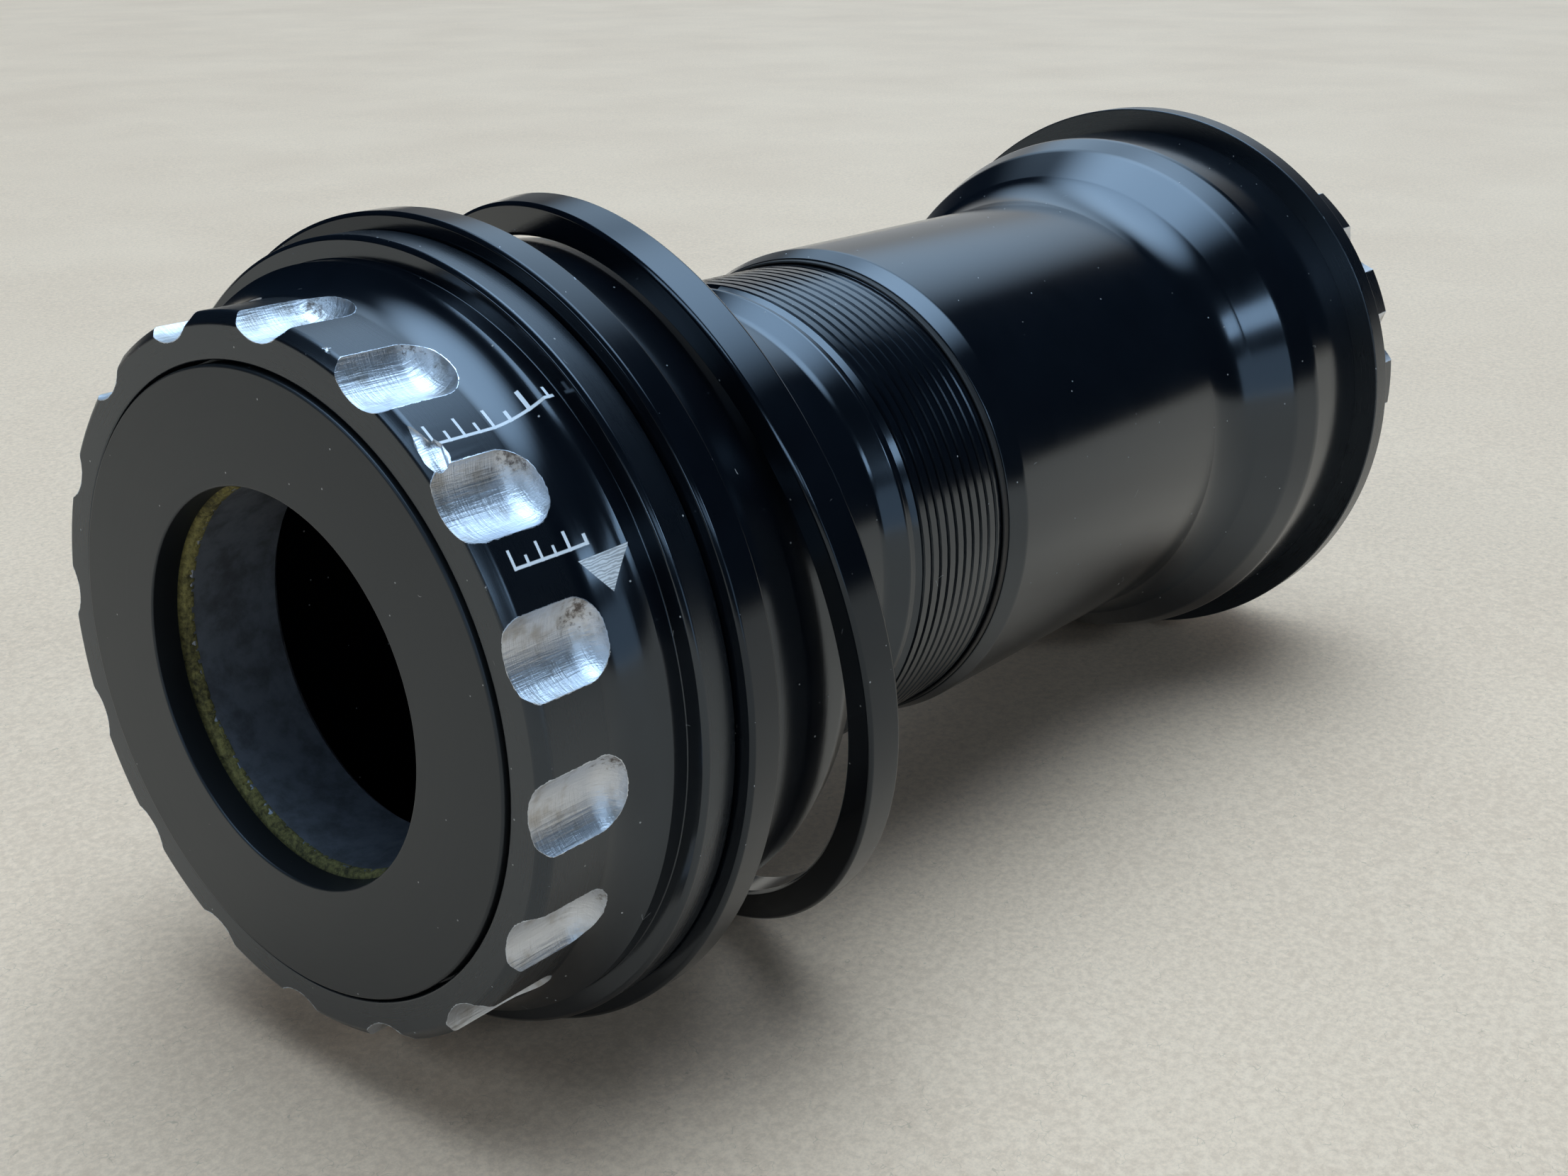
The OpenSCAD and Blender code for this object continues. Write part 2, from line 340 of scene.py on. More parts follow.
def ruled_scale(along, angle, turn, reach, pitch):
    """Ticks one pitch apart, each second one shorter, with a line under them."""
    low, high = turn
    soft_turn = MARK_SOFT / RING_R * math.degrees(1)
    offset = (along - reach[0]) % pitch
    ticks = offset.rise(2 * TICK_HALF + MARK_SOFT, 2 * TICK_HALF)
    short = ((along - reach[0]) % (2 * pitch)).rise(pitch - MARK_SOFT, pitch)
    start = low + short * (high - low) * SHORT_TICK
    tall = (angle - start).rise(-soft_turn, soft_turn) * angle.rise(high + soft_turn, high)
    line = window(angle, high - RULE_WIDTH, high, soft_turn)
    inside = window(along, reach[0], reach[1] + 2 * TICK_HALF, MARK_SOFT)
    return (ticks * tall).either(line) * inside


def arrow(paint, along, angle):
    """A triangle filled with a laser's fine hatching."""
    share = (angle - ARROW_BASE) / (ARROW_TIP - ARROW_BASE)
    room = (1 - share) * ARROW_HALF - abs(along - ARROW_ALONG)
    inside = room.rise(0.0, MARK_SOFT) * share.rise(0.0, 0.02)
    wobble = cloud(paint, stretched(paint, along * 2.0, angle * 1.2, 0.0), 1.0)
    hatch = paint.math("SINE", angle * HATCH_PITCH + wobble * HATCH_WOBBLE) * 0.5 + 0.5
    return inside * (0.45 + 0.55 * hatch)


def laser_marks(paint, along, angle):
    """Every mark on the sleeve cup's ring."""
    marks = arrow(paint, along, angle)
    for scale in SCALES:
        drawn = ruled_scale(along, angle, scale["turn"], scale["along"], scale["pitch"])
        marks = marks.either(drawn)
    return marks


print(len(SCALES), "ruled scales and one arrow")

# %% [markdown]
# Black anodising is a thin hard glassy layer, dyed nearly black, on turned aluminium. It could be
# a metal with a dark colour, but then every highlight would be dark too. A dielectric with a high
# index of refraction and almost no colour of its own keeps the highlights of the windows bright.
# The layer reflects blue a little better than red, so its specular tint is slightly blue. Worn
# spots and raw notch edges show the metal, so there the metallic value goes to one. The front of
# the ring and the flange's rim are satin, and the rest is glossy.

# %% Black anodising
BLACK = (0.0016, 0.0022, 0.0034)
BLUE_SHEEN = (0.75, 0.87, 1.0, 1)
RAW = (0.62, 0.67, 0.74)
RAW_ROUGH = 0.16
RAW_EDGE = 0.22
PINHOLES = (0.80, 0.82)
GLOSS = 0.09
SPACER_GLOSS = 0.07
CUP_IOR = 1.75
SPACER_IOR = 1.56
SATIN = 0.13
SATIN_FRONT = (5.4, 4.6)
SATIN_RIM = (9.3, 11.5)
LASER_GREY = (0.80, 0.83, 0.86)
DUST_GREY = (0.38, 0.38, 0.37)
CHIP_REACH = 0.09
CHIP_SPOTS = (0.66, 0.70)
HEAD_EDGES = [(0.0, 21.35), (0.6, 22.0), (9.25, 24.95), (11.4, 24.95)]


def chipped_edges(paint, point, along, radius, edges):
    """Bare specks along the sharp edges that an outline has at some (along, radius) corners."""
    chips = cloud(paint, point, 1.6, 4.0, 0.75).rise(*CHIP_SPOTS)
    worn = None
    for at, out in edges:
        apart = ((along - at) ** 2.0 + (radius - out) ** 2.0) ** 0.5
        spot = apart.rise(CHIP_REACH, CHIP_REACH * 0.6)
        worn = spot if worn is None else worn.either(spot)
    return worn * chips


def anodising(
    name, end, side, notched=False, marked=False, edges=(), gloss=GLOSS, ior=CUP_IOR
):
    """Black anodised aluminium, as turned round the spindle."""
    finish, paint, shader = start_finish(name, IOR=ior, Specular_Tint=BLUE_SHEEN)
    point = place_in_mm(paint)
    along, radius, angle = lathe_coordinates(paint, end, side)
    lines = turning_lines(paint, along, radius, angle)
    haze = cloud(paint, point, 0.25, 3.0, 0.6)
    grain = cloud(paint, point, 7.0, 3.0, 0.6)
    roughness = gloss + 0.06 * haze + 0.06 * lines
    colour = blend(paint, haze, BLACK, [2.2 * c for c in BLACK])
    bare = cloud(paint, point, 0.9, 5.0, 0.75).rise(*PINHOLES)
    if edges:
        bare = bare.either(chipped_edges(paint, point, along, radius, edges))
    if notched:
        satin = along.rise(*SATIN_FRONT).either(window(along, *SATIN_RIM, 0.1))
        roughness = roughness + SATIN * satin
        rough_edge = cloud(paint, point, 2.2, 4.0, 0.7)
        apart = cutter_distance(paint, along, radius, angle, side)
        bare = bare.either((apart - RAW_EDGE * (rough_edge - 0.42)).rise(0.02, 0.0))
    colour = blend(paint, bare, colour, RAW)
    roughness = roughness + bare * RAW_ROUGH
    specks = dust(paint, point)
    colour = blend(paint, specks, colour, DUST_GREY)
    roughness = roughness + specks * 0.5
    if marked:
        marks = laser_marks(paint, along, angle)
        colour = blend(paint, marks, colour, LASER_GREY)
        roughness = roughness + marks * 0.35
    height = 0.75 * lines + 0.25 * grain
    normal = bump(paint, height, 0.10, 0.02)
    link(shader, Base_Color=colour, Roughness=roughness, Metallic=bare, Normal=normal)
    return finish


sleeve_black = anodising(
    "sleeve_black_anodising", *SLEEVE_SIDE, notched=True, marked=True, edges=HEAD_EDGES
)
tube_black = anodising("tube_black_anodising", *TUBE_SIDE, notched=True, edges=HEAD_EDGES)
print("made", sleeve_black.name, "and", tube_black.name)

# %% [markdown]
# The spacers are turned from the same aluminium, but ground smoother and dyed deeper, so they are
# glossier and darker. The loose one leans by ten degrees, and its finish still goes round the
# bracket's axis: on so thin a ring nobody can see that its turning lines are a little off. The
# dust covers are moulded, so they are matt, with a fine grain and faint turning lines.

# %% Spacer and cover black
FLANGE_SPACER_AT = (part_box("flange_spacer")[0].x / MM, 1)
SPACER_T = 2.5
SPACER_EDGES = [(0.3, 26.0), (SPACER_T - 0.3, 26.0)]
SPACER_LAYER = {"gloss": SPACER_GLOSS, "ior": SPACER_IOR}
COVER_IOR = 1.58
COVER_BLACK = (0.006, 0.0065, 0.007)
COVER_HAZE = (0.011, 0.0115, 0.012)
spacer_black = anodising(
    "spacer_black_anodising", *FLANGE_SPACER_AT, edges=SPACER_EDGES, **SPACER_LAYER
)
loose_black = anodising("loose_spacer_black_anodising", *SLEEVE_SIDE, **SPACER_LAYER)


def cover_black(name, end, side):
    """The matt black of a dust cover: a moulded disc with a fine even grain."""
    finish, paint, shader = start_finish(name, IOR=COVER_IOR, Specular_Tint=BLUE_SHEEN)
    point = place_in_mm(paint)
    along, radius, angle = lathe_coordinates(paint, end, side)
    grain = cloud(paint, point, 9.0, 3.0, 0.6)
    lines = turning_lines(paint, along, radius, angle, 5.0, 0.01)
    haze = cloud(paint, point, 0.12, 3.0, 0.6)
    colour = blend(paint, haze, COVER_BLACK, COVER_HAZE)
    specks = dust(paint, point)
    colour = blend(paint, specks, colour, DUST_GREY)
    roughness = 0.30 + 0.10 * haze + 0.06 * lines + specks * 0.3
    normal = bump(paint, 0.7 * grain + 0.3 * lines, 0.12, 0.02)
    link(shader, Base_Color=colour, Roughness=roughness, Normal=normal)
    return finish


sleeve_cover_black = cover_black("sleeve_cover_black", *SLEEVE_SIDE)
tube_cover_black = cover_black("tube_cover_black", *TUBE_SIDE)
print("made", spacer_black.name, loose_black.name, sleeve_cover_black.name)

# %% [markdown]
# Inside a notch the cutter left bare aluminium. Its lines run along the spindle, with finer ones
# across them, and grey smears where chips were dragged into the blind end. A metal's look comes
# almost all from its roughness and bump, so those carry the lines.

# %% Bare aluminium
CUT_BRIGHT = (0.68, 0.72, 0.78)
CUT_SMEAR = (0.17, 0.15, 0.14)
CUT_DULL = (0.46, 0.46, 0.46)


def cut_aluminium(name, end, side):
    """Freshly milled aluminium in the notches of one cup."""
    finish, paint, shader = start_finish(name, Metallic=1.0)
    point = place_in_mm(paint)
    along, radius, angle = lathe_coordinates(paint, end, side)
    lengthways = stretched(paint, along * 0.25, angle * 2.2, radius * 2.5)
    streaks = cloud(paint, lengthways, 1.0, 4.0, 0.65)
    crossways = stretched(paint, along * 7.0, angle * 0.25, radius * 0.5)
    across = cloud(paint, crossways, 1.0, 3.0, 0.6)
    patches = cloud(paint, point, 0.55, 3.0, 0.6)
    fine = cloud(paint, point, 3.2, 5.0, 0.7)
    turn = folded_turn(angle, side)
    corner = along.rise(2.2, 5.2) * (turn * (0.5 - 0.08 * side)).rise(1.5, -2.2)
    smear = (fine * 0.6 + patches * 0.4 + corner * 0.16).rise(0.62, 0.78)
    colour = blend(paint, patches.rise(0.45, 0.7), CUT_BRIGHT, CUT_DULL)
    colour = blend(paint, smear, colour, CUT_SMEAR)
    roughness = 0.22 + 0.20 * streaks + 0.14 * across + 0.20 * smear
    normal = bump(paint, 0.65 * streaks + 0.35 * across, 0.8, 0.10)
    link(shader, Base_Color=colour, Roughness=roughness, Normal=normal)
    return finish


sleeve_cut = cut_aluminium("sleeve_cut_aluminium", *SLEEVE_SIDE)
tube_cut = cut_aluminium("tube_cut_aluminium", *TUBE_SIDE)
print("made", sleeve_cut.name, "and", tube_cut.name)

# %% [markdown]
# The bearings have ground steel races, polished balls in a nylon cage, and black rubber seals.
# The oil film on the races hides part of the metal, so their metallic value is well under one.
# The wiper ring behind each cover is a yellow felt, dark where grease has soaked into it.
# The bearing nodes keep their CAD shape, which is already right, and only get a finish.

# %% Bearing finishes
RACE_METALLIC = 0.55
RACE_BRIGHT = (0.22, 0.245, 0.29)
RACE_FILM = (0.12, 0.13, 0.15)
BALL_BRIGHT = (0.66, 0.67, 0.69)
BALL_FILM = (0.52, 0.53, 0.55)
NYLON = ((0.34, 0.29, 0.16), (0.20, 0.17, 0.09))
RUBBER = ((0.020, 0.020, 0.021), (0.010, 0.010, 0.010))
FELT_YELLOW = ((0.30, 0.27, 0.09), (0.012, 0.011, 0.006))


def race_steel(name, end, side):
    """Ground bearing steel, with the film that oil leaves on it."""
    finish, paint, shader = start_finish(name, Metallic=RACE_METALLIC)
    along, radius, angle = lathe_coordinates(paint, end, side)
    lines = turning_lines(paint, along, radius, angle, 6.0, 0.03)
    film = cloud(paint, place_in_mm(paint), 0.45, 5.0, 0.65)
    colour = blend(paint, film.rise(0.35, 0.7), RACE_BRIGHT, RACE_FILM)
    roughness = 0.32 + 0.12 * lines + 0.14 * film
    link(shader, Base_Color=colour, Roughness=roughness, Normal=bump(paint, lines, 0.12, 0.02))
    return finish


def ball_steel(name):
    """Polished chrome steel with a few hairline marks."""
    finish, paint, shader = start_finish(name, Metallic=1.0)
    point = place_in_mm(paint)
    hairs = abs(cloud(paint, point, 1.4, 1.0) - 0.5).rise(0.01, 0.0)
    film = cloud(paint, point, 0.8, 3.0)
    colour = blend(paint, film, BALL_BRIGHT, BALL_FILM)
    link(shader, Base_Color=colour, Roughness=0.06 + 0.08 * film + 0.2 * hairs)
    return finish


def grained(name, colours, scale, rough, depth, strength=0.4):
    """A plain material with a grain of a light and a dark colour: nylon, rubber or felt."""
    light, dark = colours
    finish, paint, shader = start_finish(name)
    point = place_in_mm(paint)
    grain = cloud(paint, point, scale, 5.0, 0.7)
    patches = cloud(paint, point, scale * 0.12, 3.0, 0.6)
    amount = (0.6 * grain + 0.4 * patches).rise(0.3, 0.7)
    roughness = rough + 0.12 * (grain - 0.5)
    colour = blend(paint, amount, dark, light)
    normal = bump(paint, grain, strength, depth)
    link(shader, Base_Color=colour, Roughness=roughness, Normal=normal)
    return finish


print("finishes for races, balls, nylon, rubber and felt are ready")

# %% [markdown]
# Each bearing has six nodes. The two races of a bearing share one steel, which is worked out
# from its own cup's end face, and both bearings share the other finishes.

# %% Finishing the bearings
balls_finish = ball_steel("ball_steel")
cage_finish = grained("cage_nylon", NYLON, 3.0, 0.42, 0.03)
seal_finish = grained("seal_rubber", RUBBER, 6.0, 0.55, 0.03)
felt_finish = grained("wiper_felt", FELT_YELLOW, 3.0, 0.9, 0.15, strength=1.0)
for side_name, spot in (("sleeve_side", SLEEVE_SIDE), ("tube_side", TUBE_SIDE)):
    steel = race_steel(side_name + "_race_steel", *spot)
    finishes = {
        "outer_race": steel,
        "inner_race": steel,
        "balls": balls_finish,
        "cage": cage_finish,
        "outer_seal": seal_finish,
        "inner_seal": seal_finish,
    }
    for part, finish in finishes.items():
        node_mesh = nodes[side_name + "_" + part].data
        node_mesh.materials.clear()
        node_mesh.materials.append(finish)
print("finished", 2 * len(finishes), "bearing nodes")

# %% [markdown]
# A turned part is one closed outline, spun round the spindle. The outline is drawn as a wire with
# a vertex at each corner, and each corner is rounded by a vertex bevel before the spin. A wide
# bevel makes a whole neck or fillet, and a narrow one makes the small edge that catches the light.

# %% From an outline to a turned piece
SPIN_STEPS = 256
SHARP = math.radians(38)
WIDE_ROUNDING = 1.0
FEW_SEGMENTS = 3
MANY_SEGMENTS = 20
WELD = 0.0005


def draw_outline(bm, corners, end, side):
    """A closed wire in the XZ plane, from corners of (along, radius, rounding)."""
    wire = [bm.verts.new(((end + side * c[0]) * MM, 0, c[1] * MM)) for c in corners]
    for first, second in zip(wire, wire[1:] + wire[:1]):
        bm.edges.new((first, second))
    for corner, (_, _, rounding) in zip(wire, corners):
        if rounding:
            bmesh.ops.bevel(
                bm,
                geom=[corner],
                offset=rounding * MM,
                offset_type="OFFSET",
                segments=FEW_SEGMENTS if rounding < WIDE_ROUNDING else MANY_SEGMENTS,
                profile=0.5,
                affect="VERTICES",
                material=-1,
            )


def spin_all(bm, steps):
    """Spins everything once round the spindle and closes it."""
    bmesh.ops.spin(
        bm,
        geom=bm.verts[:] + bm.edges[:],
        cent=(0, 0, 0),
        axis=(1, 0, 0),
        dvec=(0, 0, 0),
        angle=math.tau,
        steps=steps,
        use_merge=True,
        use_normal_flip=False,
        use_duplicate=False,
    )
    bmesh.ops.remove_doubles(bm, verts=bm.verts[:], dist=WELD * MM)
    bmesh.ops.recalc_face_normals(bm, faces=bm.faces[:])


def to_object(bm, name, *finishes):
    """Turns a bmesh into an object with its place in its mesh."""
    mesh = bpy.data.meshes.new(name)
    bm.to_mesh(mesh)
    bm.free()
    for finish in finishes:
        mesh.materials.append(finish)
    made = bpy.data.objects.new(name, mesh)
    bpy.context.scene.collection.objects.link(made)
    return made


def smooth(piece):
    """Smooth shading with sharp edges, weighted so that big faces stay true."""
    piece.data.shade_smooth()
    piece.data.set_sharp_from_angle(angle=SHARP)
    weighted = piece.modifiers.new("weighted normals", "WEIGHTED_NORMAL")
    weighted.keep_sharp = True
    print(piece.name, "has", len(piece.data.polygons), "faces")


def turned_piece(name, corners, spot, finish, steps=SPIN_STEPS):
    """A whole turned piece from its outline."""
    bm = bmesh.new()
    draw_outline(bm, corners, *spot)
    spin_all(bm, steps)
    return to_object(bm, name, finish)


def place_on(piece, body, slot, *replaced):
    """Makes a finished piece ride on its body and stand for its CAD nodes."""
    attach(piece, body)
    if replaced:
        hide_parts(*replaced)


print("a full turn takes", SPIN_STEPS, "steps")

# %% [markdown]
# The head is the same on both cups: a mouth for the dust cover, the notched tool ring, a concave
# fillet that climbs to a lip, and the flange that seats on the bicycle's shell. Behind it each
# cup has its press-fit band, a taper and a concave neck. The sleeve cup ends in a threaded
# sleeve, and the tube cup in a tube that takes it.

# %% The outlines of the cups
HEAD = [
    (1.9, 19.3, 0.05), (0.0, 19.3, 0.16), (0.0, 21.35, 0.14), (0.6, 22.0, 0.2),
    (6.82, 22.0, 1.88), (7.9, 23.6, 0.12), (9.0, 23.6, 0.07), (9.0, 24.7, 0.06),
    (9.25, 24.95, 0.07), (11.4, 24.95, 0.12),
]
SEAT = [(9.0, 17.0, 0), (9.0, 18.5, 0), (1.9, 18.5, 0)]
SLEEVE_CUP = HEAD + [
    (11.4, 22.7, 0), (14.2, 22.7, 0), (14.2, 23.0, 0.05), (20.0, 23.0, 0.5), (23.9, 22.9, 0.3),
    (25.5, 22.3, 0.2), (27.3, 20.0, 0.12), (27.854, 16.6, 3.3), (36.6, 16.6, 0.35),
    (38.0, 17.6, 0.1), (38.25, 17.6, 0.05), (38.35, 17.36, 0.05), (58.7, 17.36, 0.1),
    (59.5, 16.55, 0.1), (59.5, 15.2, 0.1), (26.0, 15.2, 0), (24.0, 17.0, 0),
] + SEAT
TUBE_CUP = HEAD + [
    (11.4, 23.0, 0), (19.4, 23.0, 0.35), (21.9, 22.2, 0.3), (25.0, 20.2, 0.1),
    (27.025, 18.45, 2.55), (58.8, 18.45, 0.15), (60.4, 17.95, 0.06), (60.4, 17.85, 0),
    (59.3, 17.85, 0), (59.3, 17.65, 0), (36.4, 17.65, 0), (34.9, 16.2, 0), (24.0, 16.2, 0),
    (22.0, 17.0, 0),
] + SEAT
print(len(SLEEVE_CUP), "and", len(TUBE_CUP), "corners")

# %% [markdown]
# Each notch is milled by a cutter whose nose is flat with a rounded corner. One cutter is spun
# from a small outline and copied sixteen times round the ring, and a Boolean takes them all away
# from the cup. The cut faces bring the cutter's bare aluminium with them. The sleeve cup was also
# knocked about by its tool: chips, which are small squashed balls, are cut in the same way.

# %% Notch cutters and chips
CUTTER_STEPS = 56
CUTTER_LEAD = 3.0
SLEEVE_CHIPS = [
    # turn, along, out, then half lengths round, along and out
    (131.6, 0.72, 22.02, 2.25, 0.72, 0.40),
    (157.9, 0.65, 22.05, 0.45, 0.50, 0.30),
    (107.3, 0.55, 22.10, 0.32, 0.40, 0.22),
    (112.4, 0.35, 21.95, 0.50, 0.25, 0.20),
    (165.2, 0.35, 21.90, 0.40, 0.25, 0.16),
    (181.5, 0.45, 22.00, 0.50, 0.40, 0.22),
    (228.0, 0.40, 22.00, 0.60, 0.35, 0.24),
    (249.8, 0.40, 22.00, 0.80, 0.35, 0.28),
    (253.6, 0.30, 21.90, 0.50, 0.30, 0.26),
]
TUBE_CHIPS = [
    (62.0, 0.45, 22.0, 0.5, 0.35, 0.22),
    (201.0, 0.45, 22.0, 0.6, 0.35, 0.22),
]
CHIP_ROUGH = 0.34
CHIP_SCALE = 1.7


def add_notch_cutter(bm, side_spot, turn):
    """One cutter with a rounded corner, turned to its place round the ring."""
    end, side = side_spot
    fresh = bmesh.new()
    draw_outline(
        fresh,
        [
            (NOTCH_LEN, 0.0, 0), (NOTCH_LEN, CUTTER_R, CUTTER_CORNER),
            (-CUTTER_LEAD, CUTTER_R, 0), (-CUTTER_LEAD, 0.0, 0),
        ],
        end,
        side,
    )
    spin_all(fresh, CUTTER_STEPS)
    bmesh.ops.translate(fresh, vec=(0, CUTTER_OUT * MM, 0), verts=fresh.verts[:])
    around = Matrix.Rotation(math.radians(turn), 3, "X")
    bmesh.ops.rotate(fresh, cent=(0, 0, 0), matrix=around, verts=fresh.verts[:])
    part = bpy.data.meshes.new("cutter")
    fresh.to_mesh(part)
    fresh.free()
    bm.from_mesh(part)


def add_chip(bm, side_spot, turn, along, out, half_round, half_along, half_out):
    """A rough squashed ball where a tool has knocked a chip out."""
    end, side = side_spot
    ball = bmesh.ops.create_icosphere(bm, subdivisions=3, radius=1.0)["verts"]
    for vert in ball:
        rough = noise.noise(vert.co * CHIP_SCALE + Vector((turn, along, out)))
        vert.co *= 1 + CHIP_ROUGH * 2 * rough
    shape = Matrix.Diagonal((half_along * MM, half_out * MM, half_round * MM, 1))
    place = Matrix.Translation(((end + side * along) * MM, out * MM, 0))
    around = Matrix.Rotation(math.radians(turn), 4, "X")
    bmesh.ops.transform(bm, matrix=around @ place @ shape, verts=ball)


print("the sleeve cup has", len(SLEEVE_CHIPS), "chips and the tube cup", len(TUBE_CHIPS))

# %% [markdown]
# The Boolean is worked out at once, so that the piece keeps only its cut mesh. Notches and chips
# are cut one after the other, because a chip may lie beside a notch and overlap it.


# %% Cutting the cups
def cut_away(piece, bm, finish):
    """Takes the cutters in a bmesh away from a piece, and gives the cut faces their finish."""
    cutter = to_object(bm, piece.name + "_cutter", finish)
    boolean = piece.modifiers.new("cut", "BOOLEAN")
    boolean.operation = "DIFFERENCE"
    boolean.solver = "EXACT"
    boolean.material_mode = "TRANSFER"
    boolean.object = cutter
    ready = piece.evaluated_get(bpy.context.evaluated_depsgraph_get())
    cut_mesh = bpy.data.meshes.new_from_object(ready)
    piece.modifiers.clear()
    piece.data = cut_mesh
    bpy.data.objects.remove(cutter)


def cut_notches(piece, side_spot, chips, finish):
    """Mills the notches, then knocks out the chips."""
    bm = bmesh.new()
    for count in range(NOTCHES):
        add_notch_cutter(bm, side_spot, NOTCH_TURNS[side_spot[1]] + count * NOTCH_SHARE)
    cut_away(piece, bm, finish)
    bm = bmesh.new()
    for chip in chips:
        add_chip(bm, side_spot, *chip)
    cut_away(piece, bm, finish)
    print(piece.name, "is cut by", NOTCHES, "notches and", len(chips), "chips")


sleeve_cup = turned_piece("sleeve_cup_turned", SLEEVE_CUP, SLEEVE_SIDE, sleeve_black)
cut_notches(sleeve_cup, SLEEVE_SIDE, SLEEVE_CHIPS, sleeve_cut)
smooth(sleeve_cup)
place_on(sleeve_cup, "sleeve_side", "black_anodised", "sleeve_cup")

tube_cup = turned_piece("tube_cup_turned", TUBE_CUP, TUBE_SIDE, tube_black)
cut_notches(tube_cup, TUBE_SIDE, TUBE_CHIPS, tube_cut)
smooth(tube_cup)
place_on(tube_cup, "tube_side", "black_anodised", "tube_cup")

# %% [markdown]
# The thread is a real helix. A small ridge outline is spun a little over nineteen times round the
# spindle while it also moves along it, which is what the spin operator's dvec does. Its ends are
# sunk into the sleeve over the first and last quarter turn, as a lathe tool leaves them.

# %% The sleeve's thread
THREAD_AT = 38.85
THREAD_TURNS = 19.2
PITCH = 1.0
ROOT_R = 17.36
CREST_R = 17.6
SINK = 0.08
THREAD_STEPS = 96
FADE_TURNS = 0.25
FADE_START = 0.1
RIDGE = [(-0.47, ROOT_R - SINK), (-0.31, CREST_R), (0.31, CREST_R), (0.47, ROOT_R - SINK)]

bm = bmesh.new()
ridge = [bm.verts.new(((SLEEVE_END + THREAD_AT + x * PITCH) * MM, 0, r * MM)) for x, r in RIDGE]
for first, second in zip(ridge, ridge[1:] + ridge[:1]):
    bm.edges.new((first, second))
steps = round(THREAD_TURNS * THREAD_STEPS)
bmesh.ops.spin(
    bm,
    geom=bm.verts[:] + bm.edges[:],
    cent=(0, 0, 0),
    axis=(1, 0, 0),
    dvec=(PITCH / THREAD_STEPS * MM, 0, 0),
    angle=THREAD_TURNS * math.tau,
    steps=steps,
    use_merge=False,
    use_normal_flip=False,
    use_duplicate=False,
)
bmesh.ops.holes_fill(bm, edges=[e for e in bm.edges if e.is_boundary], sides=0)
bmesh.ops.recalc_face_normals(bm, faces=bm.faces[:])
thread_from = SLEEVE_END + THREAD_AT
thread_to = thread_from + THREAD_TURNS * PITCH
for vert in bm.verts:
    from_ends = min(vert.co.x / MM - thread_from, thread_to - vert.co.x / MM) / PITCH
    share = min(max(from_ends / FADE_TURNS + FADE_START, 0), 1)
    radius = math.hypot(vert.co.y, vert.co.z) / MM
    wanted = min(radius, ROOT_R - SINK + (CREST_R - ROOT_R + SINK) * share)
    vert.co.yz = vert.co.yz * (wanted / radius)
thread = to_object(bm, "sleeve_thread", sleeve_black)
smooth(thread)
place_on(thread, "sleeve_side", "black_anodised")

# %% [markdown]
# The rest of the turned pieces are small: the flange spacer, the loose spacer that leans on the
# sleeve, the two dust covers and the rubber ring in the tube's mouth. Each has the narrow bevels
# that draw a bright line along its edge.

# %% Spacers, covers and the rubber ring
SPACER_R = 26.0
FLANGE_BORE_R = 23.05
LOOSE_BORE_R = 23.8
BEVEL = 0.22
LEAN = 10.0
SWING = 10.9


def spacer_outline(bore, start=0.0):
    """A flat ring with a bevel on each of its four edges."""
    back = start + SPACER_T
    return [
        (start, bore + BEVEL, 0.05), (start, SPACER_R - BEVEL, 0.07),
        (start + BEVEL, SPACER_R, 0.07), (back - BEVEL, SPACER_R, 0.07),
        (back, SPACER_R - BEVEL, 0.07), (back, bore + BEVEL, 0.05),
        (back - BEVEL, bore, 0.05), (start + BEVEL, bore, 0.05),
    ]


flange_spacer = turned_piece(
    "flange_spacer_ring", spacer_outline(FLANGE_BORE_R), FLANGE_SPACER_AT, spacer_black
)
smooth(flange_spacer)
place_on(flange_spacer, "spacer_carriage", "spacer_black", "flange_spacer")

loose_low, loose_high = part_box("loose_spacer")
swing = Matrix.Rotation(math.radians(-SWING), 4, "Z")
lean = Matrix.Rotation(math.radians(-LEAN), 4, "Y")
loose_spacer = turned_piece(
    "loose_spacer_ring", spacer_outline(LOOSE_BORE_R, -SPACER_T / 2), (0, 1), loose_black
)
loose_spacer.data.transform(Matrix.Translation((loose_low + loose_high) / 2) @ swing @ lean)
smooth(loose_spacer)
place_on(loose_spacer, "loose_ring", "spacer_black", "loose_spacer")

COVER = [
    (-0.25, 12.2, 0.14), (-0.25, 19.1, 0.18), (1.3, 19.1, 0.1), (1.3, 14.2, 0), (1.55, 13.9, 0),
    (1.55, 12.2, 0.05),
]
covers = {
    "sleeve_side": (SLEEVE_SIDE, sleeve_cover_black),
    "tube_side": (TUBE_SIDE, tube_cover_black),
}
for side_name, (spot, finish) in covers.items():
    cover = turned_piece(side_name + "_cover_disc", COVER, spot, finish)
    smooth(cover)
    place_on(cover, side_name + "_rotor", "cover_black", side_name + "_dust_cover")

RUBBER_RING = [(59.3, 17.64, 0), (59.3, 17.85, 0), (60.95, 17.85, 0.1), (60.95, 17.64, 0.08)]
rubber_ring = turned_piece("tube_mouth_rubber_ring", RUBBER_RING, TUBE_SIDE, seal_finish)
smooth(rubber_ring)
place_on(rubber_ring, "tube_side", "seal_rubber", "tube_mouth_o_ring")

# %% [markdown]
# The wiper ring is felt, wet with grease, and frays where it meets the spindle. It is spun like
# the others, but in many more steps, and then each vertex of its inner edge is moved a little by
# noise, so that the edge is ragged in the mesh as well as in the finish.

